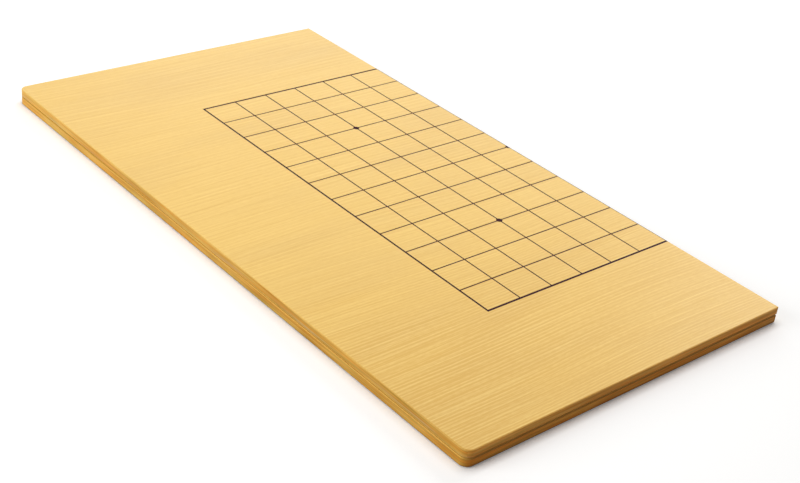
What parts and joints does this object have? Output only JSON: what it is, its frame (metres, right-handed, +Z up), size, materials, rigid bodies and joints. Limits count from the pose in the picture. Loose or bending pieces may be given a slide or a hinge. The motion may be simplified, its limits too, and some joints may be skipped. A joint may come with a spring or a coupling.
{
  "type": "folding go board",
  "caption": "Folding go board: thin veneered wooden leaves hinged along one long edge, with a small grid on the outer faces and a large grid inside.",
  "frame": {"origin": "under the middle of the folded board, on the table", "axes": "+X across the leaves towards the fold, +Y along the fold, +Z up"},
  "size_m": [0.2292, 0.424, 0.01],
  "materials": {
    "veneer": "satin lacquered pale yellow veneer",
    "lipping": "satin lacquered golden brown edge strip",
    "core": "plain wood panel, hidden",
    "print": "matt dark brown ink",
    "brass": "satin brass",
    "steel": "drawn steel wire"
  },
  "bodies": {
    "lower_leaf": {"lower_core": "core", "lower_long_lipping": "lipping", "lower_near_lipping": "lipping", "lower_far_lipping": "lipping", "lower_fold_lipping": "lipping", "lower_outer_veneer": "veneer", "lower_inner_veneer": "veneer", "lower_outer_grid_lines": "print", "lower_outer_star_points": "print", "lower_inner_grid_lines": "print", "lower_inner_star_points": "print", "near_hinge_lower_plate": "brass", "near_hinge_pin": "steel", "near_hinge_lower_screws": "brass", "far_hinge_lower_plate": "brass", "far_hinge_pin": "steel", "far_hinge_lower_screws": "brass"},
    "upper_leaf": {"upper_core": "core", "upper_long_lipping": "lipping", "upper_near_lipping": "lipping", "upper_far_lipping": "lipping", "upper_fold_lipping": "lipping", "upper_outer_veneer": "veneer", "upper_inner_veneer": "veneer", "upper_outer_grid_lines": "print", "upper_outer_star_points": "print", "upper_inner_grid_lines": "print", "upper_inner_star_points": "print", "near_hinge_upper_plate": "brass", "near_hinge_upper_screws": "brass", "far_hinge_upper_plate": "brass", "far_hinge_upper_screws": "brass"}
  },
  "joints": [
    {"name": "fold", "type": "hinge", "parent": "lower_leaf", "child": "upper_leaf", "pos_m": [0.1134, 0, 0.005], "axis": [0, 1, 0], "range_deg": [0, 180]}
  ]
}
